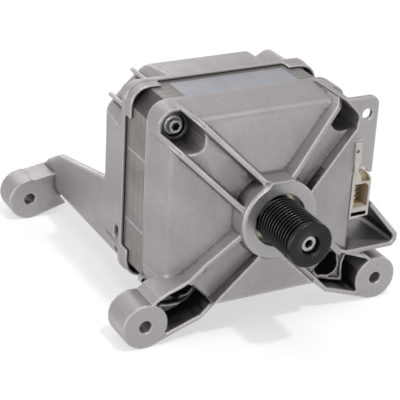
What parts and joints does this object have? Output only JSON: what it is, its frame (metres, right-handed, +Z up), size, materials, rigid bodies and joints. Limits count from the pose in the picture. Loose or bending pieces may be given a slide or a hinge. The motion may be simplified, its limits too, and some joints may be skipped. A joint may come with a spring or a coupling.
{
  "type": "washing machine motor",
  "caption": "Induction motor with two cast end shields round a bare square stator stack, a grooved belt pulley, a side connector and bolt-through mounting ears.",
  "frame": {"origin": "centre of the front hub's face, on the shaft axis, where the belt pulley stands out", "axes": "+Y along the shaft from the pulley to the rear, +Z up with the mounting ears at the bottom, +X to the side with the connector"},
  "size_m": [0.166, 0.219, 0.1221],
  "materials": {
    "cast_aluminium": "as cast, satin",
    "lamination": "stacked sheet edges, satin",
    "insulation": "matte",
    "copper": "lacquered",
    "plated_steel": "zinc plated",
    "label": "satin",
    "cream_plastic": "matte",
    "contact_brass": "satin",
    "black_plastic": "matte",
    "bearing_steel": "polished",
    "cage_brass": "satin",
    "shaft_steel": "ground",
    "black_pulley": "satin black",
    "cast_cage": "as cast",
    "magnet": "matte"
  },
  "bodies": {
    "stator": {"front_shield": "cast_aluminium", "rear_shield": "cast_aluminium", "stator_core": "lamination", "front_insulator": "insulation", "rear_insulator": "insulation", "winding": "copper", "thermal_protector": "insulation", "phase_leads": "copper", "housing_screws": "plated_steel", "rating_label": "label", "connector_housing": "cream_plastic", "connector_terminals": "contact_brass", "tacho_coil": "copper", "tacho_cover": "black_plastic", "preload_washer": "plated_steel", "front_bearing_outer": "bearing_steel", "front_bearing_shields": "bearing_steel", "rear_bearing_outer": "bearing_steel", "rear_bearing_shields": "bearing_steel"},
    "rotor": {"shaft": "shaft_steel", "pulley": "black_pulley", "rotor_core": "lamination", "rotor_cage": "cast_cage", "front_bearing_inner": "bearing_steel", "rear_bearing_inner": "bearing_steel", "retaining_ring": "plated_steel", "tacho_magnet": "magnet"},
    "front_balls": {"front_bearing_balls": "bearing_steel", "front_ball_cage": "cage_brass"},
    "rear_balls": {"rear_bearing_balls": "bearing_steel", "rear_ball_cage": "cage_brass"}
  },
  "joints": [
    {"name": "rotor_spin", "type": "hinge", "parent": "stator", "child": "rotor", "pos_m": [0, 0, 0], "axis": [0, 1, 0], "continuous": true},
    {"name": "front_balls_spin", "type": "hinge", "parent": "stator", "child": "front_balls", "pos_m": [0, 0.011, 0], "axis": [0, 1, 0], "continuous": true},
    {"name": "rear_balls_spin", "type": "hinge", "parent": "stator", "child": "rear_balls", "pos_m": [0, 0.1025, 0], "axis": [0, 1, 0], "continuous": true}
  ],
  "couplings": [
    {"joint": "front_balls_spin", "follows": "rotor_spin", "ratio": 0.388},
    {"joint": "rear_balls_spin", "follows": "rotor_spin", "ratio": 0.388}
  ]
}
